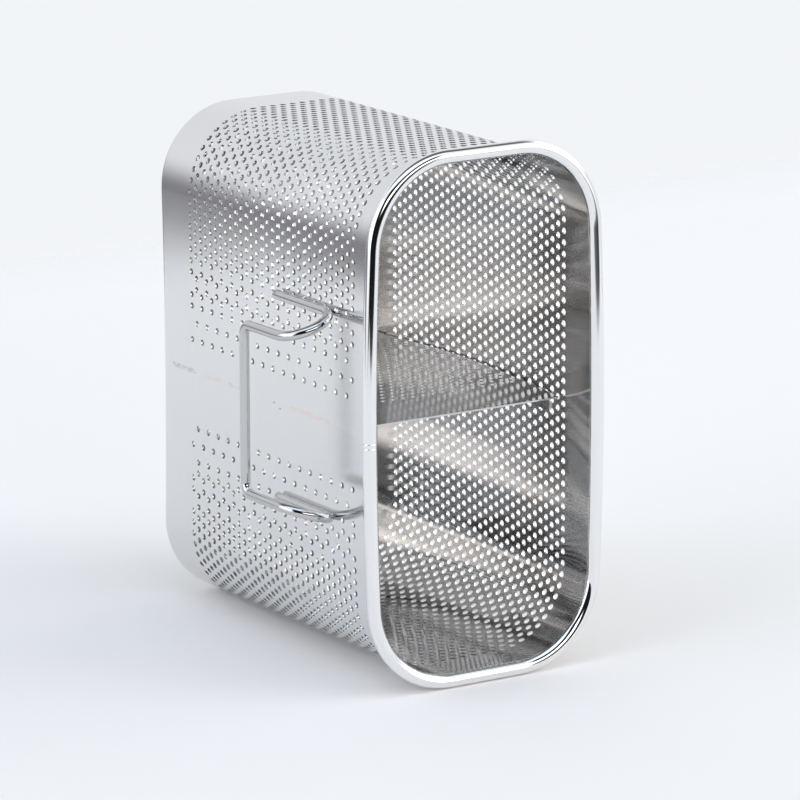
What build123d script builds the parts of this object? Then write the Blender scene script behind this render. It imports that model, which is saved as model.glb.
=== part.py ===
from build123d import *
from math import asin, degrees, floor, pi, sin, sqrt
import os

# A two-compartment cutlery rack of punched stainless sheet, standing upright on its base.
# Millimetres. X runs along the long side, Y from the front wall to the wall with the hook,
# Z up through the open mouth. The origin is the middle of the underside of the base.

# Body: one strip of sheet bent to a rounded oblong, its ends butt-welded on the hook wall.
# The long sides bow outwards a little; the depth is measured over the bow.
BODY_WIDTH = 154.3
BODY_DEPTH = 76.9
SIDE_RADIUS = 780.0
CORNER_RADIUS = 25.0
RACK_HEIGHT = 125.3
SHEET = 0.5

# Round holes of the sheet as bought, in staggered rows at 60 degrees
HOLE_DIAMETER = 2.0
HOLE_PITCH = 3.5
# Each opening cut here stands for this many holes each way, with the same open share
HOLES_PER_OPENING = 6
OPENING_SIDES = 6
# Openings are cut a few at a time, which is far quicker than all at once
OPENINGS_PER_CUT = 24

# Plain margins of the strip round its punched field
FIELD_BOTTOM = 15.7
FIELD_TOP = 111.6
SEAM_X = -2.0
MARGIN_ABOVE_SEAM = 9.8
MARGIN_BELOW_SEAM = 16.4

# Rim: a round wire hoop welded round the outside of the mouth
RIM_WIRE = 4.0
RIM_SET_DOWN = 0.12
EDGE_BELOW_RIM_CROWN = 1.3

# Base: a drawn pan whose upright flange stands inside the strip
PAN_EDGE_RADIUS = 2.0
PAN_FLANGE_HEIGHT = 6.0
PAN_FIT = 0.05
PAN_MARGIN = 8.0

# Divider: a punched plate with a flange folded along each upright edge
DIVIDER_X = -1.0
DIVIDER_TOP = 110.2
DIVIDER_FIT = 0.1
FLANGE_WIDTH = 6.4
FLANGE_TOP = 103.8
FLANGE_ABOVE_PAN = 2.0
FOLD_RADIUS = 1.0
DIVIDER_MARGIN_TOP = 8.0
DIVIDER_MARGIN_BOTTOM = 16.0
DIVIDER_MARGIN_SIDE = 5.0

# Rail hook: one bent wire with its two legs welded to the hook wall
HOOK_WIRE = 3.0
HOOK_X = 0.6
HOOK_BAR_SPAN = 51.4
HOOK_LEG_SPAN = 62.0
HOOK_STANDOFF = 16.8
HOOK_BAR_HEIGHT = 78.0
HOOK_BEND_HEIGHT = 96.3
HOOK_LEG_BOTTOM = 67.0
HOOK_CORNER_RADIUS = 3.4
HOOK_SET_DOWN = 0.15

os.makedirs("parts", exist_ok=True)

wall_bottom = PAN_EDGE_RADIUS
wall_top = RACK_HEIGHT - EDGE_BELOW_RIM_CROWN

# The bowed sides and the straight ends meet the corners at a tangent
side_centre_y = BODY_DEPTH / 2 - SIDE_RADIUS
corner_x = BODY_WIDTH / 2 - CORNER_RADIUS
corner_y = side_centre_y + sqrt((SIDE_RADIUS - CORNER_RADIUS) ** 2 - corner_x ** 2)
side_angle = degrees(asin(corner_x / (SIDE_RADIUS - CORNER_RADIUS)))
corner_angle = 90 - side_angle

opening_pitch = HOLE_PITCH * HOLES_PER_OPENING
opening_column = opening_pitch * sqrt(3) / 2
opening_area = pi / 4 * (HOLE_DIAMETER * HOLES_PER_OPENING) ** 2
opening_radius = sqrt(2 * opening_area / (OPENING_SIDES * sin(2 * pi / OPENING_SIDES)))


def outline(inset):
    """Draws the rack's outline seen from above, moved inwards by inset."""
    for facing in (1, -1):
        end_x = facing * (BODY_WIDTH / 2 - inset)
        Line((end_x, -corner_y), (end_x, corner_y))
        CenterArc(
            (0, facing * side_centre_y),
            SIDE_RADIUS - inset,
            facing * 90 - side_angle,
            2 * side_angle,
        )
        corner_start = 0 if facing == 1 else 180
        CenterArc(
            (facing * corner_x, facing * corner_y),
            CORNER_RADIUS - inset,
            corner_start,
            corner_angle,
        )
        CenterArc(
            (-facing * corner_x, facing * corner_y),
            CORNER_RADIUS - inset,
            corner_start + 90 + side_angle,
            corner_angle,
        )


def side_y(x):
    """Where the outer face of the hook wall stands at x."""
    return side_centre_y + sqrt(SIDE_RADIUS ** 2 - x ** 2)


def staggered(length, height):
    """Centres of the openings that fill a field of length by height, about its middle."""
    columns = floor((height - 2 * opening_radius) / opening_column) + 1
    rows = floor((length - 2 * opening_radius) / opening_pitch) + 1
    points = []
    for column in range(columns):
        across = (column - (columns - 1) / 2) * opening_column
        count = rows - column % 2
        for row in range(count):
            points.append(((row - (count - 1) / 2) * opening_pitch, across))
    return points


# The sheet's middle line, along which the strip keeps its length when it is bent
with BuildLine() as middle_line:
    outline(SHEET / 2)
strip_line = middle_line.wires()[0]
strip_length = strip_line.length
strip_start = strip_line.param_at_point((0, BODY_DEPTH / 2 - SHEET / 2))
strip_heading = 1 if (strip_line % strip_start).X > 0 else -1


def on_strip(travel, height):
    """Plane just outside the strip, at a travel from the middle of the hook wall towards +X."""
    share = (strip_start + strip_heading * travel / strip_length) % 1
    along = (strip_line % share) * strip_heading
    outward = Vector(0, 0, 1).cross(along)
    origin = (strip_line @ share) + Vector(0, 0, height) + outward * 2 * SHEET
    return Plane(origin=origin, x_dir=along, z_dir=outward)


# The strip: bent sheet, open at both ends, with its staggered field of openings. A cut goes
# deep enough to pass through the strip where it curves away behind the flat opening.
field_length = strip_length - MARGIN_ABOVE_SEAM - MARGIN_BELOW_SEAM
field_middle = SEAM_X + MARGIN_ABOVE_SEAM + field_length / 2
field_height = FIELD_TOP - FIELD_BOTTOM
strip_openings = [
    on_strip(field_middle + along, FIELD_BOTTOM + field_height / 2 + across)
    for along, across in staggered(field_length, field_height)
]
corner_sag = CORNER_RADIUS - sqrt(CORNER_RADIUS ** 2 - opening_radius ** 2)

with BuildPart() as wall_shell:
    with BuildSketch(Plane.XY.offset(wall_bottom)):
        with BuildLine():
            outline(0)
        make_face()
        with BuildLine():
            outline(SHEET)
        make_face(mode=Mode.SUBTRACT)
    extrude(amount=wall_top - wall_bottom)
    for first in range(0, len(strip_openings), OPENINGS_PER_CUT):
        with BuildSketch(*strip_openings[first:first + OPENINGS_PER_CUT]):
            RegularPolygon(opening_radius, OPENING_SIDES)
        extrude(amount=-4 * SHEET - corner_sag, mode=Mode.SUBTRACT)
wall_shell.part.label = "wall_shell"
export_step(wall_shell.part, "parts/wall_shell.step")

# The base pan: flat punched floor, small outer radius, upright flange inside the strip
pan_inset = SHEET + PAN_FIT
pan_top = wall_bottom + PAN_FLANGE_HEIGHT
floor_length = BODY_WIDTH - 2 * (pan_inset + PAN_MARGIN)
floor_width = BODY_DEPTH - 2 * (pan_inset + PAN_MARGIN)

with BuildPart() as base_pan:
    with BuildSketch():
        with BuildLine():
            outline(pan_inset)
        make_face()
    extrude(amount=pan_top)
    fillet(base_pan.faces().sort_by(Axis.Z)[0].edges(), PAN_EDGE_RADIUS)
    offset(amount=-SHEET, openings=base_pan.faces().sort_by(Axis.Z)[-1])
    with BuildSketch():
        with Locations(*staggered(floor_length, floor_width)):
            RegularPolygon(opening_radius, OPENING_SIDES)
    extrude(amount=SHEET, mode=Mode.SUBTRACT)
base_pan.part.label = "base_pan"
export_step(base_pan.part, "parts/base_pan.step")

# The divider: folded channel below, plain tongue above the folds, foot between the pan's flanges
flange_bottom = pan_top + FLANGE_ABOVE_PAN
tongue_half = BODY_DEPTH / 2 - SHEET - DIVIDER_FIT
foot_half = tongue_half - SHEET - PAN_FIT
flange_centre_y = tongue_half - SHEET / 2
flange_end_x = DIVIDER_X + SHEET / 2 - FLANGE_WIDTH
divider_field_bottom = SHEET + DIVIDER_MARGIN_BOTTOM
divider_field_top = DIVIDER_TOP - DIVIDER_MARGIN_TOP

with BuildPart() as divider:
    with BuildSketch(Plane.XY.offset(flange_bottom)):
        with BuildLine():
            FilletPolyline(
                (flange_end_x, -flange_centre_y),
                (DIVIDER_X, -flange_centre_y),
                (DIVIDER_X, flange_centre_y),
                (flange_end_x, flange_centre_y),
                radius=FOLD_RADIUS,
            )
        trace(line_width=SHEET)
    extrude(amount=FLANGE_TOP - flange_bottom)
    with BuildSketch(Plane.YZ.offset(DIVIDER_X - SHEET / 2)) as ends:
        with Locations((0, FLANGE_TOP)):
            Rectangle(2 * tongue_half, DIVIDER_TOP - FLANGE_TOP, align=(Align.CENTER, Align.MIN))
        with Locations((0, SHEET)):
            Rectangle(2 * foot_half, flange_bottom - SHEET, align=(Align.CENTER, Align.MIN))
        fillet(ends.vertices().group_by(Axis.Y)[0], PAN_EDGE_RADIUS)
    extrude(amount=SHEET)
    with BuildSketch(Plane.YZ.offset(DIVIDER_X - SHEET / 2)):
        with Locations((0, (divider_field_bottom + divider_field_top) / 2)):
            with Locations(
                *staggered(
                    2 * (tongue_half - DIVIDER_MARGIN_SIDE),
                    divider_field_top - divider_field_bottom,
                )
            ):
                RegularPolygon(opening_radius, OPENING_SIDES)
    extrude(amount=SHEET, mode=Mode.SUBTRACT)
divider.part.label = "divider"
export_step(divider.part, "parts/divider.step")

# The rim: round wire bent to the outline, pressed flat a little where it is welded on
rim_radius = RIM_WIRE / 2
rim_reach = rim_radius - RIM_SET_DOWN

with BuildPart() as rim_wire:
    with BuildLine(Plane.XY.offset(RACK_HEIGHT - rim_radius)) as rim_path:
        outline(-rim_reach)
    rim_line = rim_path.wires()[0]
    with BuildSketch(Plane(origin=rim_line @ 0, z_dir=rim_line % 0)):
        Circle(rim_radius)
    sweep(path=rim_line)
    with BuildSketch(Plane.XY.offset(RACK_HEIGHT - RIM_WIRE)):
        with BuildLine():
            outline(0)
        make_face()
    extrude(amount=RIM_WIRE, mode=Mode.SUBTRACT)
rim_wire.part.label = "rim_wire"
export_step(rim_wire.part, "parts/rim_wire.step")

# The hook: leg up the wall, half turn outwards, arm down to the bar, and the same back
leg_x = HOOK_LEG_SPAN / 2
arm_x = HOOK_BAR_SPAN / 2
seat_y = side_y(leg_x - HOOK_X - HOOK_WIRE / 2)
leg_y = seat_y + HOOK_WIRE / 2 - HOOK_SET_DOWN
bar_y = BODY_DEPTH / 2 + HOOK_STANDOFF
bend_rise = Vector(leg_x - arm_x, bar_y - leg_y).length / 2

with BuildPart() as hook_wire:
    with BuildLine() as hook_path:
        for side in (-1, 1):
            foot = (HOOK_X + side * leg_x, leg_y, HOOK_LEG_BOTTOM)
            leg_top = (HOOK_X + side * leg_x, leg_y, HOOK_BEND_HEIGHT)
            crown = (
                HOOK_X + side * (leg_x + arm_x) / 2,
                (leg_y + bar_y) / 2,
                HOOK_BEND_HEIGHT + bend_rise,
            )
            arm_top = (HOOK_X + side * arm_x, bar_y, HOOK_BEND_HEIGHT)
            Line(foot, leg_top)
            ThreePointArc(leg_top, crown, arm_top)
        FilletPolyline(
            (HOOK_X - arm_x, bar_y, HOOK_BEND_HEIGHT),
            (HOOK_X - arm_x, bar_y, HOOK_BAR_HEIGHT),
            (HOOK_X + arm_x, bar_y, HOOK_BAR_HEIGHT),
            (HOOK_X + arm_x, bar_y, HOOK_BEND_HEIGHT),
            radius=HOOK_CORNER_RADIUS,
        )
    with BuildSketch(Plane.XY.offset(HOOK_LEG_BOTTOM)):
        with Locations((HOOK_X - leg_x, leg_y)):
            Circle(HOOK_WIRE / 2)
    sweep(path=hook_path.wires()[0])
    split(bisect_by=Plane(origin=(0, seat_y, 0), z_dir=(0, 1, 0)), keep=Keep.TOP)
hook_wire.part.label = "hook_wire"
export_step(hook_wire.part, "parts/hook_wire.step")
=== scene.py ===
from math import ceil, cos, pi, radians, sin, sqrt

import bpy
import numpy as np
from mathutils import Matrix, Vector
from mathutils.geometry import delaunay_2d_cdt

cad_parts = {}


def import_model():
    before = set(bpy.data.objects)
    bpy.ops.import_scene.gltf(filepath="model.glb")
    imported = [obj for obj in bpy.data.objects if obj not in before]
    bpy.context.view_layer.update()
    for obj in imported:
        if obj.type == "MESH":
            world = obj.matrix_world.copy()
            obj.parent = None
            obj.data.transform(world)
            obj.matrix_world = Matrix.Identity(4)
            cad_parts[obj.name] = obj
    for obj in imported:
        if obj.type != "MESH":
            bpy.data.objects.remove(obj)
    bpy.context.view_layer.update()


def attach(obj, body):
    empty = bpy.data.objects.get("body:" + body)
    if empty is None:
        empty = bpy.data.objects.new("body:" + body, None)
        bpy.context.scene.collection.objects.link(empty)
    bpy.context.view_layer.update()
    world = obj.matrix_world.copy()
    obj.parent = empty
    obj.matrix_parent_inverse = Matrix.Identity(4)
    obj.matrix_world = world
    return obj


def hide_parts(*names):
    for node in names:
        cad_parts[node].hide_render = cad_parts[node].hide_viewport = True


# The looks of a cutlery rack of punched stainless sheet. Metres, in the frame of the solids:
# X along the long side, Y towards the wall with the hook, Z up through the mouth.

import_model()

MM = 0.001

# Strip: one punched sheet bent to a rounded oblong. The hook wall is drawn in a little at the base and
# bows outwards more and more towards the mouth, while the far wall stays straight and only flares at
# the mouth, towards the hoop. BOW_ANGLE is half the bow's angle at the hoop, and the shares say how
# much of it the hook wall has at the base and the far wall at its top.
BODY_WIDTH = 154.28 * MM
BODY_DEPTH = 74.4 * MM
CORNER_RADIUS = 25.0 * MM
RACK_HEIGHT = 125.3 * MM
SHEET = 0.5 * MM
BOW_ANGLE = 0.0463
BASE_SHARE = -0.5
FLARE_FROM = 109.26 * MM
FLARE_SHARE = 0.65
STRIP_TOP = 123.2 * MM
# The lower edge is drawn in round the pan's edge, over part of a quarter turn, in fine steps
EDGE_TURN = 0.85
EDGE_STEP = 0.3 * MM

# Punching: round holes in bands across the strip, staggered by half a pitch
HOLE_RADIUS = 1.0 * MM
BAND = 2.983 * MM
BANDS = 32
FIRST_BAND = 18.31 * MM
HOLE_SIDES = 12
# The sheet round each hole is a cell of two grid squares with six corners
CELL_CORNERS = 6

# Ends of the punched field beside the seam: the rows next to it have holes only in some steps
SEAM_X = -2.0 * MM
FIRST_ROW_ABOVE = 7.9 * MM
FIRST_ROW_BELOW = 19.7 * MM
FIELD_STEPS = 219
FULL_FROM = 14
ROWS_NEAR_END = (0, 3, 6, 8, 9, 11, 12)
SEAM_HALF_WIDTH = 0.1 * MM
SEAM_DEPTH = 0.05 * MM

# Rim wire, a hoop whose middle line runs outside the strip's outer face
RIM_WIRE = 4.0 * MM
RIM_REACH = 1.88 * MM
RIM_STEP = 1.2 * MM
RIM_SIDES = 32
# The weld that joins the hoop to the strip is ground flush with the strip's inner face
WELD_PROUD = 0.01 * MM
# Two narrow grooves stand beside the butt weld of the hoop's ends
BUTT_X = (-2.9 * MM, -4.3 * MM)
BUTT_STEP = 0.1 * MM
BUTT_DEPTH = 0.12 * MM

# Base pan, its floor's holes in rows and columns counted from the middle
PAN_EDGE_RADIUS = 2.0 * MM
PAN_TOP = 8.0 * MM
PAN_FIT = 0.05 * MM
PAN_MARGIN = 7.0 * MM
PAN_ROWS = 12
PAN_COLUMNS = 30
PAN_CORNER_STEPS = 20
PAN_EDGE_STEPS = 8
PAN_STEP = 4 * MM
# Blender's triangulation: only what lies inside the border, with points this near counted as one.
# A triangle is in a hole where its middle is nearer to the hole's than this share of its radius.
INSIDE_BORDER = 1
SAME_POINT = 1e-7
IN_HOLE = 0.9

# Divider. Its plate bulges towards +X between its upper and lower edges
DIVIDER_X = -1.7 * MM
PLATE_BULGE = 2.3 * MM
DIVIDER_TOP = 110.44 * MM
FLANGE_WIDTH = 6.4 * MM
FLANGE_TOP = 104.14 * MM
FLANGE_BOTTOM = 11.81 * MM
DIVIDER_FIELD_BOTTOM = 17.72 * MM
DIVIDER_FIELD_TOP = 91.54 * MM
FOLD_RADIUS = 1.5 * MM
FOLD_STEPS = 6
FLANGE_STEP = 2 * MM
PLATE_STEP = 3 * MM

# Rail hook
HOOK_WIRE = 3.0 * MM
HOOK_X = 0.6 * MM
HOOK_BAR_SPAN = 51.4 * MM
HOOK_LEG_SPAN = 62.0 * MM
HOOK_BAR_Y = 55.25 * MM
HOOK_BAR_HEIGHT = 78.74 * MM
HOOK_BEND_HEIGHT = 96.76 * MM
HOOK_LEG_BOTTOM = 70.38 * MM
HOOK_CORNER_RADIUS = 3.4 * MM
HOOK_SET_DOWN = 0.15 * MM
HOOK_SIDES = 20
# Steps along the hook's leg, half of its half turn, its arm, its corner and the bar
LEG_STEPS, BEND_STEPS, ARM_STEPS, CORNER_STEPS, BAR_STEPS = 12, 12, 6, 8, 16

# A bow needs at least this share to have a radius
STRAIGHT = 1e-3
# Distance over which the strip's lean is measured
LEAN_STEP = 0.1 * MM

edge_radius = PAN_EDGE_RADIUS + PAN_FIT + SHEET
neutral_radius = CORNER_RADIUS - SHEET / 2
corner_x = BODY_WIDTH / 2 - CORNER_RADIUS
quarter = corner_x + neutral_radius * pi / 2 + BODY_DEPTH / 2 - CORNER_RADIUS
perimeter = 4 * quarter
half_pitch = (perimeter - FIRST_ROW_ABOVE - FIRST_ROW_BELOW) / FIELD_STEPS


def sheet_bow(z, far):
    """Half angle of the strip's bow at height z, on the far wall where far is true."""
    flare = np.clip((z - FLARE_FROM) / (STRIP_TOP - FLARE_FROM), 0, None) ** 2
    share = np.where(far, FLARE_SHARE * flare, BASE_SHARE + (1 - BASE_SHARE) * z / RACK_HEIGHT)
    return BOW_ANGLE * np.where(np.abs(share) < STRAIGHT, STRAIGHT, share)


def hoop_bow(z, far):
    """Half angle of the hoop's bow, the same on both walls."""
    return np.full(np.shape(z), BOW_ANGLE)


def side_radius(half):
    """Radius of a side that bows by this half angle."""
    return (corner_x + CORNER_RADIUS * np.sin(half)) / np.sin(half)


def side_y(x, z, far=False):
    """How far the outer face of a long wall stands from the middle at x and z."""
    half = sheet_bow(z, far)
    radius = side_radius(half)
    return BODY_DEPTH / 2 + np.sign(radius) * np.sqrt(radius ** 2 - x ** 2) - radius * np.cos(half)


def plan(travel, half):
    """Outer face seen from above in the first quarter: x, y and the outward normal's turn from Y."""
    radius = side_radius(half)
    side = (radius - SHEET / 2) * half
    bend = side + neutral_radius * (pi / 2 - half)
    corner_y = BODY_DEPTH / 2 - CORNER_RADIUS * np.cos(half)
    on_side, on_bend = travel < side, travel < bend
    turn = np.where(
        on_side,
        travel / (radius - SHEET / 2),
        np.where(on_bend, half + (travel - side) / neutral_radius, pi / 2),
    )
    x = np.where(on_side, radius * np.sin(turn), corner_x + CORNER_RADIUS * np.sin(turn))
    y = np.where(
        on_side,
        BODY_DEPTH / 2 + radius * (np.cos(turn) - np.cos(half)),
        np.where(
            on_bend,
            corner_y + CORNER_RADIUS * np.cos(turn),
            corner_y * (quarter - travel) / (quarter - bend),
        ),
    )
    return x, y, turn


def outline(travel, z, grow=0.0, bow=sheet_bow):
    """Outer face of the strip, moved out by grow: points and outward normals.

    travel runs along the sheet from the middle of the hook wall towards +X."""
    travel = np.mod(np.asarray(travel, float), perimeter)
    z = np.broadcast_to(np.asarray(z, float), travel.shape)
    part = np.floor(travel / quarter)
    in_part = travel - part * quarter
    folded = np.where(part % 2 == 0, in_part, quarter - in_part)
    sign_x = np.where(part < 2, 1, -1)
    sign_y = np.where((part == 0) | (part >= 3), 1, -1)
    far = sign_y < 0
    x, y, turn = plan(folded, bow(z, far))
    above, below = plan(folded, bow(z + LEAN_STEP, far)), plan(folded, bow(z - LEAN_STEP, far))
    lean = ((above[0] - below[0]) * np.sin(turn) + (above[1] - below[1]) * np.cos(turn)) / (2 * LEAN_STEP)
    normal = np.stack([sign_x * np.sin(turn), sign_y * np.cos(turn), -lean], -1)
    normal /= np.linalg.norm(normal, axis=-1, keepdims=True)
    return np.stack([sign_x * x, sign_y * y, z], -1) + normal * grow, normal


class Flat:
    """A flat pattern: points in travel and height, and the faces between them."""

    def __init__(self):
        self.points = []
        self.faces = []
        self.known = {}

    def point(self, key, u, v):
        """Number of the point with this key, which is made at u and v when it is new."""
        if key not in self.known:
            self.known[key] = len(self.points)
            self.points.append((u, v))
        return self.known[key]


def hole_ring():
    """Angles of a hole's corners, which meet its cell's six corners at 30, 90, 150 ... degrees."""
    return [radians(30) + 2 * pi * k / HOLE_SIDES for k in range(HOLE_SIDES)]


def punched_grid(u_lines, v_lines, is_hole, is_sheet, closed=False):
    """Flat pattern on a grid of lines. A hole at (i, j) stands on line i, in the middle of band j,
    and takes the grid's squares on both sides of that line. A closed grid ends on its first line."""
    flat = Flat()
    count = len(u_lines) - 1
    per_sector = HOLE_SIDES // CELL_CORNERS

    def corner(a, b):
        line = a % count if closed else a
        return flat.point((line, b), u_lines[line], v_lines[b])

    for j in range(len(v_lines) - 1):
        i = 0
        while i < len(u_lines) - 1:
            if i + 2 < len(u_lines) and is_hole(i + 1, j):
                middle_u, middle_v = u_lines[i + 1], (v_lines[j] + v_lines[j + 1]) / 2
                ring = []
                for k, angle in enumerate(hole_ring()):
                    u = middle_u + HOLE_RADIUS * cos(angle)
                    v = middle_v + HOLE_RADIUS * sin(angle)
                    ring.append(flat.point(("hole", i + 1, j, k), u, v))
                outer = [
                    corner(i + 2, j + 1),
                    corner(i + 1, j + 1),
                    corner(i, j + 1),
                    corner(i, j),
                    corner(i + 1, j),
                    corner(i + 2, j),
                ]
                for s in range(CELL_CORNERS):
                    first = s * per_sector
                    inner = [ring[(first + n) % HOLE_SIDES] for n in range(per_sector + 1)]
                    flat.faces.append([outer[s], outer[(s + 1) % CELL_CORNERS]] + inner[::-1])
                i += 2
            else:
                if is_sheet(i, j):
                    flat.faces.append(
                        [corner(i, j), corner(i + 1, j), corner(i + 1, j + 1), corner(i, j + 1)]
                    )
                i += 1
    return flat


def link(name, mesh):
    """A new object with this mesh, in the scene."""
    piece = bpy.data.objects.new(name, mesh)
    bpy.context.scene.collection.objects.link(piece)
    return piece


# Kinds of faces of a thickened sheet
OUTER_FACE, INNER_FACE, CUT_FACE = 0, 1, 2


def thicken(name, flat, place, turned=False):
    """Mesh of a sheet. place gives points and outward normals for arrays of travel and height.

    turned says that travel and height run clockwise seen from outside."""
    uv = np.array(flat.points)
    outer, normal = place(uv[:, 0], uv[:, 1])
    inner = outer - normal * SHEET
    count = len(uv)
    faces, kinds = [], []
    # Edges that only one face has, kept in the order in which they are met
    edges = {}
    pattern = [face[::-1] for face in flat.faces] if turned else flat.faces
    for face in pattern:
        faces.append(face)
        kinds.append(OUTER_FACE)
        for a, b in zip(face, face[1:] + face[:1]):
            if (b, a) in edges:
                del edges[(b, a)]
            else:
                edges[(a, b)] = True
    for face in pattern:
        faces.append([v + count for v in reversed(face)])
        kinds.append(INNER_FACE)
    for a, b in edges:
        faces.append([b, a, a + count, b + count])
        kinds.append(CUT_FACE)
    mesh = bpy.data.meshes.new(name)
    mesh.from_pydata(np.concatenate([outer, inner]).tolist(), [], faces)
    mesh.update()
    loops = np.zeros(len(mesh.loops), int)
    mesh.loops.foreach_get("vertex_index", loops)
    on_sheet = mesh.uv_layers.new(name="sheet")
    on_sheet.data.foreach_set("uv", uv[loops % count].astype(np.float32).ravel())
    kinds = np.array(kinds)
    mesh.polygons.foreach_set("use_smooth", kinds != CUT_FACE)
    kind_of_loop = np.repeat(kinds, [len(face) for face in faces])
    of_vertex = normal[loops % count]
    splits = np.zeros((len(mesh.loops), 3))
    splits[kind_of_loop == OUTER_FACE] = of_vertex[kind_of_loop == OUTER_FACE]
    splits[kind_of_loop == INNER_FACE] = -of_vertex[kind_of_loop == INNER_FACE]
    mesh.normals_split_custom_set(splits.tolist())
    mesh.validate()
    return link(name, mesh)


# Share of a step by which a length may overrun before another line is added
OVERRUN = 0.01


def even(low, high, step):
    """Lines from low to high, about a step apart."""
    return np.linspace(low, high, max(1, ceil(abs(high - low) / step - OVERRUN)) + 1).tolist()


def strip_lines():
    """Grid lines along the strip from the seam round to the seam, and the field's first line."""
    field_start = FIRST_ROW_ABOVE - half_pitch
    # From a step before the first row to a step past the last
    field = [field_start + n * half_pitch for n in range(FIELD_STEPS + 3)]
    lead = [SEAM_X] + even(SEAM_X + SEAM_HALF_WIDTH, field_start, 2 * half_pitch)
    end = SEAM_X + perimeter
    tail = even(field[-1], end - SEAM_HALF_WIDTH, 2 * half_pitch) + [end]
    return lead[:-1] + field + tail[1:], len(lead) - 1


def field_bands():
    """Lines across the strip: margin, the bands of holes, margin; and the first band's number."""
    low = FIRST_BAND - BAND / 2
    high = low + BANDS * BAND
    drawn_edge = even(PAN_EDGE_RADIUS - edge_radius * EDGE_TURN, PAN_EDGE_RADIUS, EDGE_STEP)
    below = drawn_edge[:-1] + even(PAN_EDGE_RADIUS, low, BAND)
    field = [low + n * BAND for n in range(BANDS + 1)]
    return below[:-1] + field + even(high, STRIP_TOP, BAND)[1:], len(below) - 1


def wall_shell():
    """The strip, with its field of holes, its butt seam and its drawn-in lower edge."""
    lines, first_line = strip_lines()
    bands, first_band = field_bands()

    def is_hole(i, j):
        band, step = j - first_band, i - first_line - 1
        if not (0 <= band < BANDS and 0 <= step <= FIELD_STEPS):
            return False
        # Bands count from the mouth, where the even ones start one step later
        from_mouth = BANDS - 1 - band
        if (step + from_mouth) % 2 == 0:
            return False
        near = min(step, FIELD_STEPS - step)
        return near >= FULL_FROM or near in ROWS_NEAR_END

    def place(u, v):
        turn = np.clip((PAN_EDGE_RADIUS - v) / edge_radius, 0, None)
        height = np.where(turn > 0, PAN_EDGE_RADIUS - edge_radius * np.sin(turn), v)
        point, normal = outline(u, height)
        point -= normal * (edge_radius * (1 - np.cos(turn)))[:, None]
        normal = normal * np.cos(turn)[:, None] - np.outer(np.sin(turn), (0, 0, 1))
        at_seam = np.abs(u - SEAM_X) < SEAM_HALF_WIDTH / 2
        point[at_seam] -= normal[at_seam] * SEAM_DEPTH
        return point, normal

    flat = punched_grid(lines, bands, is_hole, lambda i, j: True, closed=True)
    return thicken("wall_sheet", flat, place, turned=True)


def rounded_rectangle(half_x, half_y, radius, steps):
    """Points of a rounded rectangle, anticlockwise, with steps pieces to each corner."""
    points = []
    for corner, (sx, sy) in enumerate([(1, 1), (-1, 1), (-1, -1), (1, -1)]):
        for k in range(steps + 1):
            turn = corner * pi / 2 + k / steps * pi / 2
            points.append(
                (sx * (half_x - radius) + radius * cos(turn), sy * (half_y - radius) + radius * sin(turn))
            )
    return points


def pan_border(half_x, half_y, radius):
    """Points round the flat floor, where the drawn edge begins."""
    edge = rounded_rectangle(half_x, half_y, radius, PAN_CORNER_STEPS)
    border = []
    for a, b in zip(edge, edge[1:] + edge[:1]):
        length = sqrt((b[0] - a[0]) ** 2 + (b[1] - a[1]) ** 2)
        parts = max(1, round(length / PAN_STEP))
        border += [
            (a[0] + (b[0] - a[0]) * k / parts, a[1] + (b[1] - a[1]) * k / parts) for k in range(parts)
        ]
    return border


def pan_holes(keep_x, keep_y, keep_radius):
    """Middles of the floor's holes that lie inside a rounded rectangle."""
    pitch = 2 * half_pitch
    centres = []
    for row in range(-PAN_ROWS, PAN_ROWS + 1):
        y = row * BAND
        for column in range(-PAN_COLUMNS, PAN_COLUMNS + 1):
            x = (column + (row % 2) / 2) * pitch
            dx, dy = abs(x) - (keep_x - keep_radius), abs(y) - (keep_y - keep_radius)
            past_corner = dx > 0 and dy > 0 and dx * dx + dy * dy > keep_radius ** 2
            if abs(x) <= keep_x and abs(y) <= keep_y and not past_corner:
                centres.append((x, y))
    return centres


def pan_floor(border, centres):
    """The flat floor inside its border: its points, and its triangles without those in the holes."""
    points = [Vector(p) for p in border]
    loops = [list(range(len(points)))]
    for x, y in centres:
        first = len(points)
        for angle in hole_ring():
            points.append(Vector((x + HOLE_RADIUS * cos(angle), y + HOLE_RADIUS * sin(angle))))
        loops.append(list(range(first, first + HOLE_SIDES)))
    edges = [(a, b) for loop in loops for a, b in zip(loop, loop[1:] + loop[:1])]
    made, _, triangles, _, _, _ = delaunay_2d_cdt(points, edges, [], INSIDE_BORDER, SAME_POINT)
    made = np.array([tuple(p) for p in made])
    centres = np.array(centres)
    floor = []
    for triangle in triangles:
        middle = made[list(triangle)].mean(0)
        if np.min(np.sum((centres - middle) ** 2, 1)) > (HOLE_RADIUS * IN_HOLE) ** 2:
            floor.append([triangle[0], triangle[2], triangle[1]])
    return made, floor


def pan_section():
    """From the floor's border round the drawn edge and up the flange: reach, height and turn."""
    section = []
    for k in range(PAN_EDGE_STEPS + 1):
        turn = k / PAN_EDGE_STEPS * pi / 2
        out, z = PAN_EDGE_RADIUS * sin(turn) - PAN_EDGE_RADIUS, PAN_EDGE_RADIUS * (1 - cos(turn))
        section.append((out + PAN_EDGE_RADIUS, z, turn))
    for z in even(PAN_EDGE_RADIUS, PAN_TOP, PAN_STEP)[1:]:
        section.append((PAN_EDGE_RADIUS, z, pi / 2))
    return section


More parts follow.
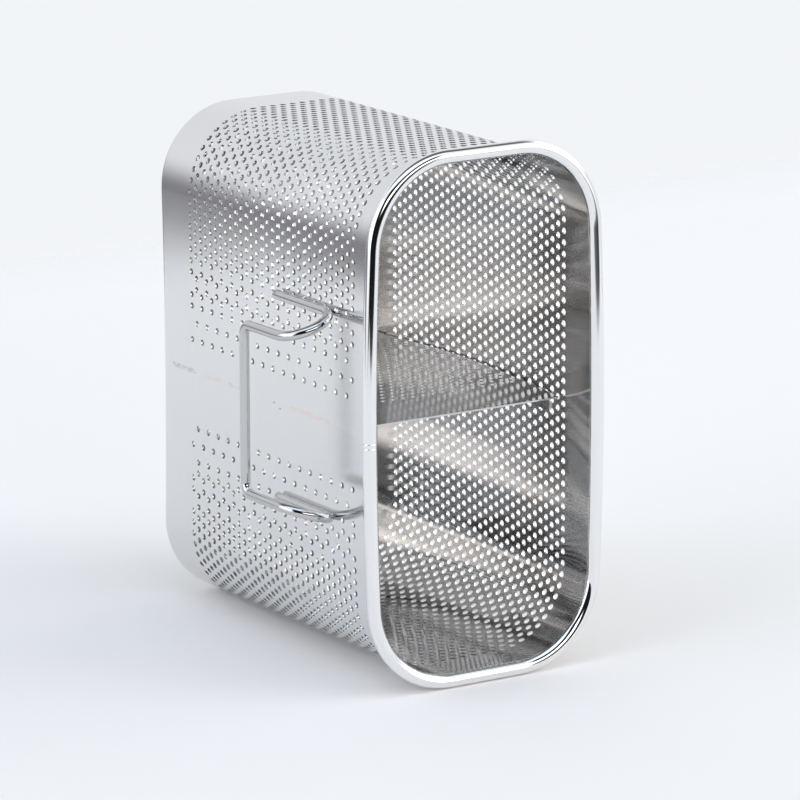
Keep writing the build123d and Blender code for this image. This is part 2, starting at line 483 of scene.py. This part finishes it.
def base_pan():
    """A drawn pan: punched floor, rounded edge and upright flange inside the strip."""
    half_x = BODY_WIDTH / 2 - SHEET - PAN_FIT
    half_y = BODY_DEPTH / 2 - SHEET - PAN_FIT
    radius = CORNER_RADIUS - SHEET - PAN_FIT
    border = pan_border(half_x - PAN_EDGE_RADIUS, half_y - PAN_EDGE_RADIUS, radius - PAN_EDGE_RADIUS)
    centres = pan_holes(half_x - PAN_MARGIN, half_y - PAN_MARGIN, radius - PAN_MARGIN)
    made, faces = pan_floor(border, centres)
    vertices = [(x, y, 0.0) for x, y in made]
    normals = [(0.0, 0.0, -1.0)] * len(vertices)
    core_x, core_y = half_x - radius, half_y - radius
    rings = [[int(np.argmin(np.sum((made - np.array(p)) ** 2, 1))) for p in border]]
    for reach, z, turn in pan_section()[1:]:
        ring = []
        for x, y in border:
            cx, cy = min(max(x, -core_x), core_x), min(max(y, -core_y), core_y)
            dx, dy = x - cx, y - cy
            length = sqrt(dx * dx + dy * dy)
            nx, ny = dx / length, dy / length
            ring.append(len(vertices))
            vertices.append((x + nx * reach, y + ny * reach, z))
            normals.append((nx * sin(turn), ny * sin(turn), -cos(turn)))
        rings.append(ring)
    for low, high in zip(rings, rings[1:]):
        for k in range(len(border)):
            n = (k + 1) % len(border)
            faces.append([low[k], low[n], high[n], high[k]])
    outer = np.array(vertices)
    normal = np.array(normals)
    # The pan follows the hook wall, which is drawn in at the base
    along_side = np.clip(outer[:, 0], -corner_x, corner_x)
    drawn_in = BODY_DEPTH / 2 - side_y(along_side, PAN_EDGE_RADIUS)
    outer[:, 1] -= drawn_in * np.clip(outer[:, 1], 0, None) / half_y
    flat = Flat()
    flat.points = [(v[0], v[1]) for v in vertices]
    flat.faces = faces
    return thicken("base_sheet", flat, lambda u, v: (outer, normal))


def divider():
    """A punched plate whose side edges are folded back as flanges against the long walls."""
    half = BODY_DEPTH / 2 - SHEET
    fold_start = half - FOLD_RADIUS
    fold_length = (FOLD_RADIUS - SHEET / 2) * pi / 2
    flange_end = fold_start + fold_length + FLANGE_WIDTH - FOLD_RADIUS
    fold = [fold_start + fold_length * k / FOLD_STEPS for k in range(FOLD_STEPS + 1)]
    flange = even(fold[-1], flange_end, FLANGE_STEP)[1:]
    steps = int(fold_start / half_pitch)
    plate = [n * half_pitch for n in range(-steps, steps + 1)]
    right = even(plate[-1], fold_start, FLANGE_STEP)[1:] + fold[1:] + flange
    lines = [-u for u in reversed(right)] + plate + right
    first_plate = len(right)
    foot = even(SHEET, FLANGE_BOTTOM, PLATE_STEP)[:-1]
    below = foot + even(FLANGE_BOTTOM, DIVIDER_FIELD_BOTTOM, PLATE_STEP)[:-1]
    count = round((DIVIDER_FIELD_TOP - DIVIDER_FIELD_BOTTOM) / BAND)
    bands = [DIVIDER_FIELD_BOTTOM + n * BAND for n in range(count + 1)]
    above = even(bands[-1], FLANGE_TOP, PLATE_STEP)[1:] + even(FLANGE_TOP, DIVIDER_TOP, PLATE_STEP)[1:]
    heights = below + bands + above
    first_band, last_band = len(below), len(below) + count

    def is_hole(i, j):
        step = i - first_plate
        if not (first_band <= j < last_band) or not (1 <= step <= 2 * steps - 1):
            return False
        return (step + j) % 2 == 0

    def is_sheet(i, j):
        middle = abs(lines[i] + lines[i + 1]) / 2
        z = (heights[j] + heights[j + 1]) / 2
        if z < FLANGE_BOTTOM or z > FLANGE_TOP:
            return middle < fold_start
        return True

    def place(u, v):
        side = np.sign(u)
        reach = np.abs(u)
        # The plate widens a little towards the mouth with the bowed walls
        stretch = side_y(DIVIDER_X, v, side < 0) - SHEET - half
        bent = np.clip(reach - fold_start, 0, fold_length) / fold_length * pi / 2
        past = np.clip(reach - fold_start - fold_length, 0, None)
        share = np.clip(reach / fold_start, 0, 1)
        y = np.minimum(reach, fold_start) + FOLD_RADIUS * np.sin(bent) + stretch * share
        x = -FOLD_RADIUS * (1 - np.cos(bent)) - past
        phase = pi * v / DIVIDER_TOP
        x += DIVIDER_X + SHEET / 2 + PLATE_BULGE * np.sin(phase)
        lean = PLATE_BULGE * pi / DIVIDER_TOP * np.cos(phase)
        point = np.stack([x, side * y, v], -1)
        normal = np.stack([np.cos(bent), side * np.sin(bent), -lean * np.cos(bent)], -1)
        normal /= np.linalg.norm(normal, axis=-1, keepdims=True)
        return point, normal

    flat = punched_grid(lines, heights, is_hole, is_sheet)
    return thicken("divider_sheet", flat, place)


# Steps along and round a wire to the corners of one of its faces
CORNERS = ((0, 0), (0, 1), (1, 1), (1, 0))


def round_section(turn, n):
    """A round wire's surface at this turn round it, across and up from its middle line."""
    return cos(turn), sin(turn)


def tube(name, centres, radius, sides, closed, up=(0, 0, 1), section=round_section):
    """Wire along centres, a list of points, with lengths along and round it as its UV map.

    radius is one number or one for each point, and up a direction across the wire's start."""
    centres = np.array(centres, float)
    count = len(centres)
    if closed:
        tangents = np.roll(centres, -1, 0) - np.roll(centres, 1, 0)
    else:
        tangents = np.gradient(centres, axis=0)
    tangents /= np.linalg.norm(tangents, axis=1, keepdims=True)
    side = np.cross(tangents[0], np.array(up, float))
    side /= np.linalg.norm(side)
    frames = []
    for tangent in tangents:
        side = side - tangent * side.dot(tangent)
        side /= np.linalg.norm(side)
        frames.append((side.copy(), np.cross(side, tangent)))
    vertices = []
    radii = radius if np.ndim(radius) else np.full(count, radius)
    for n, (centre, (a, b), r) in enumerate(zip(centres, frames, radii)):
        for k in range(sides):
            turn = 2 * pi * k / sides
            across, rise = section(turn, n)
            vertices.append(centre + (a * across + b * rise) * r)
    faces, lengths = [], [0.0]
    for n in range(1, count + 1):
        lengths.append(lengths[-1] + float(np.linalg.norm(centres[n % count] - centres[n - 1])))
    uvs = []
    girth = 2 * pi * float(np.max(radii)) / sides
    for n in range(count if closed else count - 1):
        m = (n + 1) % count
        for k in range(sides):
            j = (k + 1) % sides
            faces.append([n * sides + k, n * sides + j, m * sides + j, m * sides + k])
            uvs += [(lengths[n + along], (k + round_it) * girth) for along, round_it in CORNERS]
    caps = []
    if not closed:
        caps = [list(range(sides - 1, -1, -1)), [(count - 1) * sides + k for k in range(sides)]]
        uvs += [(0.0, 0.0)] * (2 * sides)
    mesh = bpy.data.meshes.new(name)
    mesh.from_pydata([tuple(v) for v in vertices], [], faces + caps)
    mesh.update()
    on_wire = mesh.uv_layers.new(name="sheet")
    on_wire.data.foreach_set("uv", np.array(uvs, np.float32).ravel())
    mesh.polygons.foreach_set("use_smooth", [True] * len(faces) + [False] * len(caps))
    mesh.validate()
    return link(name, mesh)


def rim_wire():
    """The hoop round the mouth, its two cut ends meeting on the hook side, and its weld to the strip."""
    z = RACK_HEIGHT - RIM_WIRE / 2
    travel = list(np.arange(0, perimeter, RIM_STEP))
    for x in BUTT_X:
        travel += [x % perimeter + k * BUTT_STEP for k in range(-2, 3)]
    travel = np.array(sorted(travel))
    centres, outwards = outline(travel, z, grow=RIM_REACH, bow=hoop_bow)
    sheet_face, _ = outline(travel, z, grow=-SHEET - WELD_PROUD)
    inner_reach = np.sum((centres - sheet_face) * outwards, axis=1)
    radius = np.full(len(travel), RIM_WIRE / 2)
    for x in BUTT_X:
        radius[np.abs(travel - x % perimeter) < BUTT_STEP / 2] -= BUTT_DEPTH

    # The inner half is drawn out to the strip's inner face
    def section(turn, n):
        inwards = inner_reach[n] / (RIM_WIRE / 2) if cos(turn) > 0 else 1.0
        return cos(turn) * inwards, sin(turn)

    return tube("rim_hoop", centres, radius, RIM_SIDES, True, section=section)


def arc(centre, start, end, steps):
    """Points of a circular arc round centre from start to end, both left out."""
    centre, start, end = np.array(centre), np.array(start), np.array(end)
    a, b = start - centre, end - centre
    angle = np.arccos(np.clip(a.dot(b) / np.linalg.norm(a) / np.linalg.norm(b), -1, 1))
    return [
        centre + (a * np.sin(angle * (1 - k / steps)) + b * np.sin(angle * k / steps)) / np.sin(angle)
        for k in range(1, steps)
    ]


def between(start, end, steps):
    """Points of a straight line from start to end, both with it."""
    return [start + (end - start) * k / steps for k in range(steps + 1)]


def hook_wire():
    """Rail hook: up the wall, over in a half turn, down to the bar and the same back."""
    leg_x, arm_x = HOOK_LEG_SPAN / 2, HOOK_BAR_SPAN / 2
    off_wall = HOOK_WIRE / 2 - HOOK_SET_DOWN
    low_y = side_y(leg_x - HOOK_WIRE / 2, HOOK_LEG_BOTTOM) + off_wall
    high_y = side_y(leg_x - HOOK_WIRE / 2, HOOK_BEND_HEIGHT) + off_wall

    def half(side):
        leg_low = np.array([side * leg_x, low_y, HOOK_LEG_BOTTOM])
        leg_high = np.array([side * leg_x, high_y, HOOK_BEND_HEIGHT])
        arm_high = np.array([side * arm_x, HOOK_BAR_Y, HOOK_BEND_HEIGHT])
        middle = (leg_high + arm_high) / 2
        rise = np.array([0, 0, np.linalg.norm(leg_high - arm_high) / 2])
        over = (
            arc(middle, leg_high, middle + rise, BEND_STEPS)
            + [middle + rise]
            + arc(middle, middle + rise, arm_high, BEND_STEPS)
        )
        bend_centre = np.array(
            [side * (arm_x - HOOK_CORNER_RADIUS), HOOK_BAR_Y, HOOK_BAR_HEIGHT + HOOK_CORNER_RADIUS]
        )
        bend_in = bend_centre + [side * HOOK_CORNER_RADIUS, 0, 0]
        bend_out = bend_centre - [0, 0, HOOK_CORNER_RADIUS]
        run = between(leg_low, leg_high, LEG_STEPS)
        down = between(arm_high, bend_in, ARM_STEPS)
        return run + over + down + arc(bend_centre, bend_in, bend_out, CORNER_STEPS) + [bend_out]

    left, right = half(-1), half(1)
    bar = between(left[-1], right[-1], BAR_STEPS)[1:-1]
    points = np.array(left + bar + right[::-1])
    points[:, 0] += HOOK_X
    return tube("hook_rod", points, HOOK_WIRE / 2, HOOK_SIDES, False, up=(0, 1, 0))


def nodes_of(material):
    """The material's node tree, its nodes, its links and its surface shader."""
    material.use_nodes = True
    tree = material.node_tree
    return tree, tree.nodes, tree.links, tree.nodes["Principled BSDF"]


def compute(tree, operation, *values):
    """A maths node on numbers or other nodes' values."""
    node = tree.nodes.new("ShaderNodeMath")
    node.operation = operation
    for slot, value in zip(node.inputs, values):
        if isinstance(value, (int, float)):
            slot.default_value = value
        else:
            tree.links.new(value, slot)
    return node.outputs[0]


def smooth_step(tree, value, low, high):
    """A value that goes from 0 at low to 1 at high."""
    step = tree.nodes.new("ShaderNodeMapRange")
    step.interpolation_type = "SMOOTHSTEP"
    step.inputs["From Min"].default_value = low
    step.inputs["From Max"].default_value = high
    tree.links.new(value, step.inputs["Value"])
    return step.outputs[0]


def spread(tree, value, ends):
    """Numbers between the two ends as value goes from 0 to 1."""
    node = tree.nodes.new("ShaderNodeMapRange")
    node.inputs["To Min"].default_value, node.inputs["To Max"].default_value = ends
    tree.links.new(value, node.inputs["Value"])
    return node.outputs[0]


def layer(tree, under, over, mask):
    """The colour over laid on the colour under, as far as mask says, which goes from 0 to 1."""
    mix = tree.nodes.new("ShaderNodeMix")
    mix.data_type = "RGBA"
    tree.links.new(mask, mix.inputs["Factor"])
    for slot, colour in ((mix.inputs[6], under), (mix.inputs[7], over)):
        if isinstance(colour, tuple):
            slot.default_value = colour
        else:
            tree.links.new(colour, slot)
    return mix.outputs[2]


def noise(tree, place, scale, detail, stretch=(1, 1, 1)):
    """A noise value between 0 and 1, its lumps about 1 / (scale * stretch) metres across."""
    mapping = tree.nodes.new("ShaderNodeMapping")
    mapping.inputs["Scale"].default_value = stretch
    tree.links.new(place, mapping.inputs["Vector"])
    texture = tree.nodes.new("ShaderNodeTexNoise")
    texture.inputs["Scale"].default_value = scale
    texture.inputs["Detail"].default_value = detail
    tree.links.new(mapping.outputs[0], texture.inputs["Vector"])
    return texture.outputs["Fac"]


def sheet_place(tree):
    """Place on the sheet, and the same as travel along it and height."""
    uv = tree.nodes.new("ShaderNodeUVMap")
    uv.uv_map = "sheet"
    split = tree.nodes.new("ShaderNodeSeparateXYZ")
    tree.links.new(uv.outputs[0], split.inputs[0])
    return uv.outputs[0], split.outputs["X"], split.outputs["Y"]


# Finish of the sheet: cold-rolled stainless, its grain along the strip. Colours go from the grain's dark
# lines to its bright ones, and gloss is a range of roughness. The strip's outer face has a lighter copy of
# the sheet's colours, painted light; inside, where it keeps the sheet's own colours, it shows its
# reflections sharper.
SHEET_COLOURS = ((0.54, 0.535, 0.53, 1), (0.65, 0.645, 0.64, 1))
# Painted light: the outer face's lighter copy of the sheet's colours
OUTER_PAINTED_LIGHT_COLOURS = ((0.73, 0.73, 0.73, 1), (0.82, 0.82, 0.82, 1))
SHEET_GLOSS = (0.06, 0.09)
OUTER_GLOSS = (0.10, 0.13)
# The dot product of place and normal tells the sides apart: positive is outside, soft within this slack
SIDE_SLACK = 1 * MM
# The grain smears reflections across itself, which is up and down the strip: full smear, quarter turn
GRAIN_SMEAR = 1.0
GRAIN_TURN = 0.25
GRAIN_STRENGTH = 0.1
GRAIN_DEPTH = 0.02 * MM
# The divider is a plate of its own, polished alike both ways
PLATE_GLOSS = (0.07, 0.10)

# Noise patterns as scale and detail, and for grain also its stretch along and across the grain
SHEET_GRAIN = (1.0, 3.0, (60, 3500, 1))
SHEET_CLOUD = (45.0, 4.0)
WIRE_GRAIN = (1.0, 2.0, (40, 2500, 1))
WIRE_CLOUD = (120.0, 3.0)
TINT_WAVES = (60.0, 3.0)
TINT_PATCHES = (400.0, 2.0)

# Marks that the welding torch left beside the seam: lowest and highest point, and colour
HEAT_TINTS = (
    (6 * MM, 20 * MM, (0.55, 0.53, 0.52, 1)),
    (25.5 * MM, 35.5 * MM, (0.80, 0.66, 0.62, 1)),
    (39.5 * MM, 49 * MM, (0.60, 0.68, 0.62, 1)),
    (76 * MM, 98.5 * MM, (0.80, 0.67, 0.62, 1)),
    (102.5 * MM, 114 * MM, (0.88, 0.87, 0.86, 1)),
)
# Across, a tint is full up to the first distance from the line that it follows and gone at the second.
# Along, it fades within TINT_END to both sides of its ends.
TINT_FULL = 0.15 * MM
TINT_GONE = 1.0 * MM
TINT_END = 1 * MM
# The line wanders within this width round the seam, and patches of tint come up between these values
# of their noise
TINT_WANDER = 1.2 * MM
PATCH_NOISE = (0.3, 0.6)
# Small pits beside the seam: travel, height and radius. A pit fades in between these shares of its radius.
PITS = ((-2.05 * MM, 66.5 * MM, 0.45 * MM), (-3.5 * MM, 69.9 * MM, 0.3 * MM))
PIT_OUTER = 1.3
PIT_INNER = 0.6
PIT_COLOUR = (0.16, 0.14, 0.13, 1)


def looks_outwards(tree):
    """1 where a face of the strip looks away from the middle of its base, 0 where it looks towards it."""
    here = tree.nodes.new("ShaderNodeTexCoord")
    outwards = tree.nodes.new("ShaderNodeVectorMath")
    outwards.operation = "DOT_PRODUCT"
    tree.links.new(here.outputs["Object"], outwards.inputs[0])
    tree.links.new(here.outputs["Normal"], outwards.inputs[1])
    return smooth_step(tree, outwards.outputs["Value"], -SIDE_SLACK, SIDE_SLACK)


def sheet_steel(name, seam=False, gloss_range=SHEET_GLOSS, smear=GRAIN_SMEAR):
    """Bright rolled stainless sheet: fine grain and faint clouds in the gloss.

    seam says that it is the strip, with its two sides, the outer one painted lighter, and the marks beside
    its seam."""
    material = bpy.data.materials.new(name)
    tree, nodes, links, shader = nodes_of(material)
    shader.inputs["Metallic"].default_value = 1.0
    place, travel, height = sheet_place(tree)
    grain = noise(tree, place, *SHEET_GRAIN)
    cloud = noise(tree, place, *SHEET_CLOUD)
    gloss = spread(tree, cloud, gloss_range)
    colour = layer(tree, *SHEET_COLOURS, grain)
    if seam:
        outside = looks_outwards(tree)
        outer_gloss = compute(tree, "MULTIPLY", outside, spread(tree, cloud, OUTER_GLOSS))
        gloss = compute(tree, "MAXIMUM", gloss, outer_gloss)
        # The outer face takes the lighter colours: painted light
        colour = layer(tree, colour, layer(tree, *OUTER_PAINTED_LIGHT_COLOURS, grain), outside)
        colour = seam_marks(tree, colour, place, travel, height)
    links.new(gloss, shader.inputs["Roughness"])
    along_grain = nodes.new("ShaderNodeTangent")
    along_grain.direction_type = "UV_MAP"
    along_grain.uv_map = "sheet"
    links.new(along_grain.outputs[0], shader.inputs["Tangent"])
    shader.inputs["Anisotropic"].default_value = smear
    shader.inputs["Anisotropic Rotation"].default_value = GRAIN_TURN
    links.new(colour, shader.inputs["Base Color"])
    bump = nodes.new("ShaderNodeBump")
    bump.inputs["Strength"].default_value = GRAIN_STRENGTH
    bump.inputs["Distance"].default_value = GRAIN_DEPTH
    links.new(grain, bump.inputs["Height"])
    links.new(bump.outputs[0], shader.inputs["Normal"])
    return material


def seam_marks(tree, colour, place, travel, height):
    """Heat tints and pits beside the butt seam."""
    centred = compute(tree, "SUBTRACT", noise(tree, place, *TINT_WAVES), 0.5)
    wander = compute(tree, "MULTIPLY", centred, TINT_WANDER)
    past_seam = compute(tree, "SUBTRACT", compute(tree, "ADD", travel, wander), SEAM_X)
    from_start = compute(tree, "ABSOLUTE", past_seam)
    from_end = compute(tree, "ABSOLUTE", compute(tree, "SUBTRACT", from_start, perimeter))
    near = smooth_step(tree, compute(tree, "MINIMUM", from_start, from_end), TINT_GONE, TINT_FULL)
    patchy = smooth_step(tree, noise(tree, place, *TINT_PATCHES), *PATCH_NOISE)
    for low, high, tint in HEAT_TINTS:
        above = smooth_step(tree, height, low - TINT_END, low + TINT_END)
        below = smooth_step(tree, height, high + TINT_END, high - TINT_END)
        inside = compute(tree, "MULTIPLY", above, below)
        mask = compute(tree, "MULTIPLY", compute(tree, "MULTIPLY", inside, near), patchy)
        colour = layer(tree, colour, tint, mask)
    for pit_travel, pit_height, pit_radius in PITS:
        along = compute(tree, "POWER", compute(tree, "SUBTRACT", travel, pit_travel % perimeter), 2.0)
        up = compute(tree, "POWER", compute(tree, "SUBTRACT", height, pit_height), 2.0)
        away = compute(tree, "SQRT", compute(tree, "ADD", along, up))
        in_pit = smooth_step(tree, away, PIT_OUTER * pit_radius, PIT_INNER * pit_radius)
        colour = layer(tree, colour, PIT_COLOUR, in_pit)
    return colour


# Finish of the wires: drawn stainless, the rim's colours painted lighter than the hook's, a painted
# highlight
RIM_PAINTED_LIGHT_COLOURS = ((0.82, 0.82, 0.82, 1), (0.88, 0.88, 0.88, 1))
HOOK_COLOURS = ((0.50, 0.50, 0.50, 1), (0.62, 0.62, 0.62, 1))
WIRE_GLOSS = (0.03, 0.07)


def wire_steel(name, colours):
    """Bright drawn stainless wire, with faint draw lines along it."""
    material = bpy.data.materials.new(name)
    tree, nodes, links, shader = nodes_of(material)
    shader.inputs["Metallic"].default_value = 1.0
    place, _, _ = sheet_place(tree)
    lines = noise(tree, place, *WIRE_GRAIN)
    cloud = noise(tree, place, *WIRE_CLOUD)
    links.new(spread(tree, cloud, WIRE_GLOSS), shader.inputs["Roughness"])
    links.new(layer(tree, *colours, lines), shader.inputs["Base Color"])
    return material


# Camera, solved from the photograph: sensor and lens in millimetres, the directions of the picture's
# right side, its upper side and back to the camera, its place in millimetres, and the nearest and
# furthest that it sees, in metres
CAMERA_SENSOR = 36.0
CAMERA_LENS = 255.91
CAMERA_RIGHT = (-0.00329024, -0.83875303, 0.54450209)
CAMERA_UP = (0.97282481, -0.12874868, -0.19244648)
CAMERA_BACK = (0.23151900, 0.52907196, 0.81638338)
CAMERA_PLACE = (391.209, 903.870, 1472.314)
CAMERA_NEAREST = 0.1
CAMERA_FURTHEST = 50.0


def camera():
    """The photograph's camera."""
    data = bpy.data.cameras.new("camera")
    data.sensor_width = CAMERA_SENSOR
    data.lens = CAMERA_LENS
    data.clip_start = CAMERA_NEAREST
    data.clip_end = CAMERA_FURTHEST
    piece = link("camera", data)
    place = Matrix((CAMERA_RIGHT, CAMERA_UP, CAMERA_BACK)).transposed().to_4x4()
    place.translation = Vector(CAMERA_PLACE) * MM
    piece.matrix_world = place
    bpy.context.scene.camera = piece


# The table lies under the rack's side, touching the rim and the base's edge, and fades out at its
# edges: middle and half width in Y, then in Z. Its mesh reaches further than that on all sides.
TABLE_EDGES = ((-0.05, 0.55), (0.13, 0.52))
TABLE_FADE = 0.05
TABLE_REACH = 1.2
TABLE_COLOUR = (0.95, 0.93, 0.905, 1)
TABLE_ROUGHNESS = 0.7
TABLE_SHINE = 0.2
BACKDROP = (0.885, 0.903, 0.932, 1)


def table():
    """The table under the rack, seen through from below."""
    rim_x = -(BODY_WIDTH / 2 + RIM_REACH + RIM_WIRE / 2)
    rim_z = RACK_HEIGHT - RIM_WIRE / 2
    base_x = -BODY_WIDTH / 2
    slope = (rim_x - base_x) / (rim_z - PAN_EDGE_RADIUS)
    along = Vector((slope, 0, 1)).normalized()
    side = Vector((0, 1, 0))
    middle = Vector((rim_x, 0, rim_z))
    corners = [
        middle + along * a * TABLE_REACH + side * b * TABLE_REACH
        for a, b in ((-1, -1), (1, -1), (1, 1), (-1, 1))
    ]
    mesh = bpy.data.meshes.new("table")
    mesh.from_pydata(corners, [], [(0, 1, 2, 3)])
    mesh.update()
    if mesh.polygons[0].normal.x < 0:
        mesh.flip_normals()
    piece = link("table", mesh)
    material = bpy.data.materials.new("table")
    tree, nodes, links, shader = nodes_of(material)
    shader.inputs["Base Color"].default_value = TABLE_COLOUR
    shader.inputs["Roughness"].default_value = TABLE_ROUGHNESS
    shader.inputs["Specular IOR Level"].default_value = TABLE_SHINE
    clear = nodes.new("ShaderNodeBsdfTransparent")
    place = nodes.new("ShaderNodeTexCoord")
    split = nodes.new("ShaderNodeSeparateXYZ")
    links.new(place.outputs["Object"], split.inputs[0])
    gone = nodes.new("ShaderNodeNewGeometry").outputs["Backfacing"]
    for axis, (centre, half) in zip("YZ", TABLE_EDGES):
        away = compute(tree, "ABSOLUTE", compute(tree, "SUBTRACT", split.outputs[axis], centre))
        gone = compute(tree, "MAXIMUM", gone, smooth_step(tree, away, half - TABLE_FADE, half + TABLE_FADE))
    mix = nodes.new("ShaderNodeMixShader")
    links.new(gone, mix.inputs["Fac"])
    links.new(shader.outputs[0], mix.inputs[1])
    links.new(clear.outputs[0], mix.inputs[2])
    links.new(mix.outputs[0], nodes["Material Output"].inputs["Surface"])
    piece.data.materials.append(material)


# The studio round the rack, which only lights it and shows in it: the camera sees the plain backdrop.
# Height is the angle above the table, turn the angle round the upright of the photograph, which is the
# rack's X, from the rack's Z towards its Y. Each light or dark area has the middle and half width of
# its turn, its lowest and highest height, all with its softness in degrees, and its colour. Each lies
# over those before it.
STUDIO = {
    "ceiling before the rack": (27, 90, 51, 100, 8, (1.3, 1.5, 1.8, 1)),
    "dark ceiling behind it": (-153, 90, 49, 100, 8, (0.14, 0.15, 0.12, 1)),
    "left softbox": (92, 27, -7, 42, 5, (1.9, 2.0, 2.25, 1)),
    "right softbox": (-83, 34, 10, 42, 5, (1.99, 2.03, 2.09, 1)),
    "warm card": (-36, 13, -4, 32, 7, (4.6, 4.4, 4.25, 1)),
    "dark camera zone": (14, 46, -16, 51, 5, (0.01, 0.01, 0.01, 1)),
    "dark horizon": (142, 40, -60, 4, 12, (0.27, 0.27, 0.29, 1)),
    "strip light": (-20, 42, 16, 26, 5, (4.6, 4.4, 4.25, 1)),
}


def world():
    """The backdrop, with the studio's lights and dark areas laid over it."""
    place = bpy.data.worlds.new("studio")
    bpy.context.scene.world = place
    place.use_nodes = True
    tree = place.node_tree
    nodes, links = tree.nodes, tree.links
    background = nodes["Background"]
    direction = nodes.new("ShaderNodeTexCoord")
    split = nodes.new("ShaderNodeSeparateXYZ")
    links.new(direction.outputs["Generated"], split.inputs[0])
    height = compute(tree, "ARCSINE", split.outputs["X"])

    def turned_from(centre):
        """Angle between this direction and the one at turn centre."""
        across = compute(
            tree,
            "SUBTRACT",
            compute(tree, "MULTIPLY", split.outputs["Y"], cos(centre)),
            compute(tree, "MULTIPLY", split.outputs["Z"], sin(centre)),
        )
        ahead = compute(
            tree,
            "ADD",
            compute(tree, "MULTIPLY", split.outputs["Y"], sin(centre)),
            compute(tree, "MULTIPLY", split.outputs["Z"], cos(centre)),
        )
        return compute(tree, "ABSOLUTE", compute(tree, "ARCTAN2", across, ahead))

    def window(centre, half, low, high, soft):
        """1 inside an area of the studio, 0 outside it, soft between."""
        inside = smooth_step(tree, turned_from(centre), half + soft, half - soft)
        below = smooth_step(tree, height, high + soft, high - soft)
        above = smooth_step(tree, height, low - soft, low + soft)
        return compute(tree, "MULTIPLY", inside, compute(tree, "MULTIPLY", below, above))

    lit = BACKDROP
    for centre, half, low, high, soft, colour in STUDIO.values():
        mask = window(*(radians(angle) for angle in (centre, half, low, high, soft)))
        lit = layer(tree, lit, colour, mask)
    seen = nodes.new("ShaderNodeLightPath")
    colour = layer(tree, lit, BACKDROP, seen.outputs["Is Camera Ray"])
    links.new(colour, background.inputs["Color"])
    background.inputs["Strength"].default_value = 1.0


bpy.context.scene.view_settings.view_transform = "Standard"
camera()
table()
world()

steel, welded_steel = sheet_steel("sheet"), sheet_steel("welded_sheet", seam=True)
plate = sheet_steel("plate", gloss_range=PLATE_GLOSS, smear=0.0)
for make, node, material, slot in (
    (wall_shell, "wall_shell", welded_steel, "punched_sheet"),
    (base_pan, "base_pan", steel, "punched_sheet"),
    (divider, "divider", plate, "punched_sheet"),
    # The rim's wire colours are painted lighter: painted highlight
    (rim_wire, "rim_wire", wire_steel("rim_wire", RIM_PAINTED_LIGHT_COLOURS), "polished_wire"),
    (hook_wire, "hook_wire", wire_steel("hook_wire", HOOK_COLOURS), "polished_wire"),
):
    piece = make()
    piece.data.materials.append(material)
    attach(piece, "root")
    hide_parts(node)
